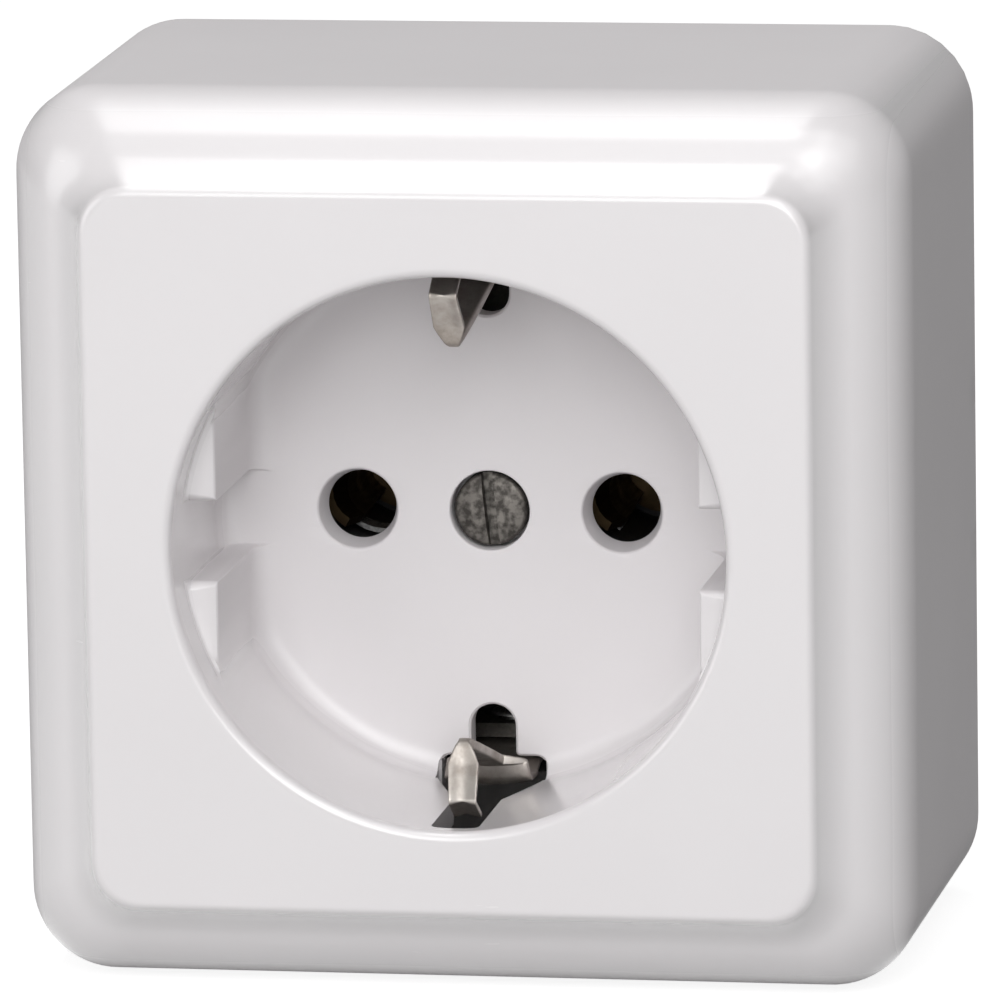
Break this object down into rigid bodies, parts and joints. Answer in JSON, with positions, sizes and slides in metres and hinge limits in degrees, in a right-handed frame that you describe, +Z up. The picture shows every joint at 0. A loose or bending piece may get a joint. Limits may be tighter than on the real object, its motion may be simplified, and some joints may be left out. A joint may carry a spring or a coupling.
{
  "type": "surface mounted socket outlet",
  "caption": "Square surface box with a round plug recess, two pin holes, a central screw and sprung side earth clips.",
  "frame": {"origin": "centre of the face that lies on the wall", "axes": "+X to the right seen from the front, +Y into the wall, +Z up; the recess opens towards -Y"},
  "size_m": [0.0638, 0.0416, 0.0638],
  "materials": {
    "white_moulding": "glossy white moulding",
    "base_moulding": "satin pale moulding",
    "carrier_moulding": "dull black thermoset moulding",
    "brass": "stamped brass strip",
    "nickel": "warm plated spring strip",
    "steel": "dull plated steel"
  },
  "bodies": {
    "root": {"cover": "white_moulding", "base_plate": "base_moulding", "contact_carrier": "carrier_moulding", "cover_screw": "steel", "cover_nut": "brass", "earth_bridge": "nickel", "clip_rivet_top": "steel", "clip_rivet_bottom": "steel", "earth_clamp": "steel", "earth_screw": "steel", "contact_left": "brass", "contact_right": "brass", "jaw_spring_left": "steel", "jaw_spring_right": "steel", "terminal_clamp_left": "steel", "terminal_clamp_right": "steel", "terminal_screw_left": "steel", "terminal_screw_right": "steel", "carrier_screw_upper": "steel", "carrier_screw_lower": "steel"},
    "clip_top": {"earth_clip_top": "nickel"},
    "clip_bottom": {"earth_clip_bottom": "nickel"}
  },
  "joints": [
    {"name": "clip_top_flex", "type": "hinge", "parent": "root", "child": "clip_top", "pos_m": [0, -0.0149, 0.0183], "axis": [-1, 0, 0], "range_deg": [0, 5.5], "stiffness_Nm_per_rad": 1},
    {"name": "clip_bottom_flex", "type": "hinge", "parent": "root", "child": "clip_bottom", "pos_m": [0, -0.0149, -0.0183], "axis": [1, 0, 0], "range_deg": [0, 5.5], "stiffness_Nm_per_rad": 1}
  ]
}
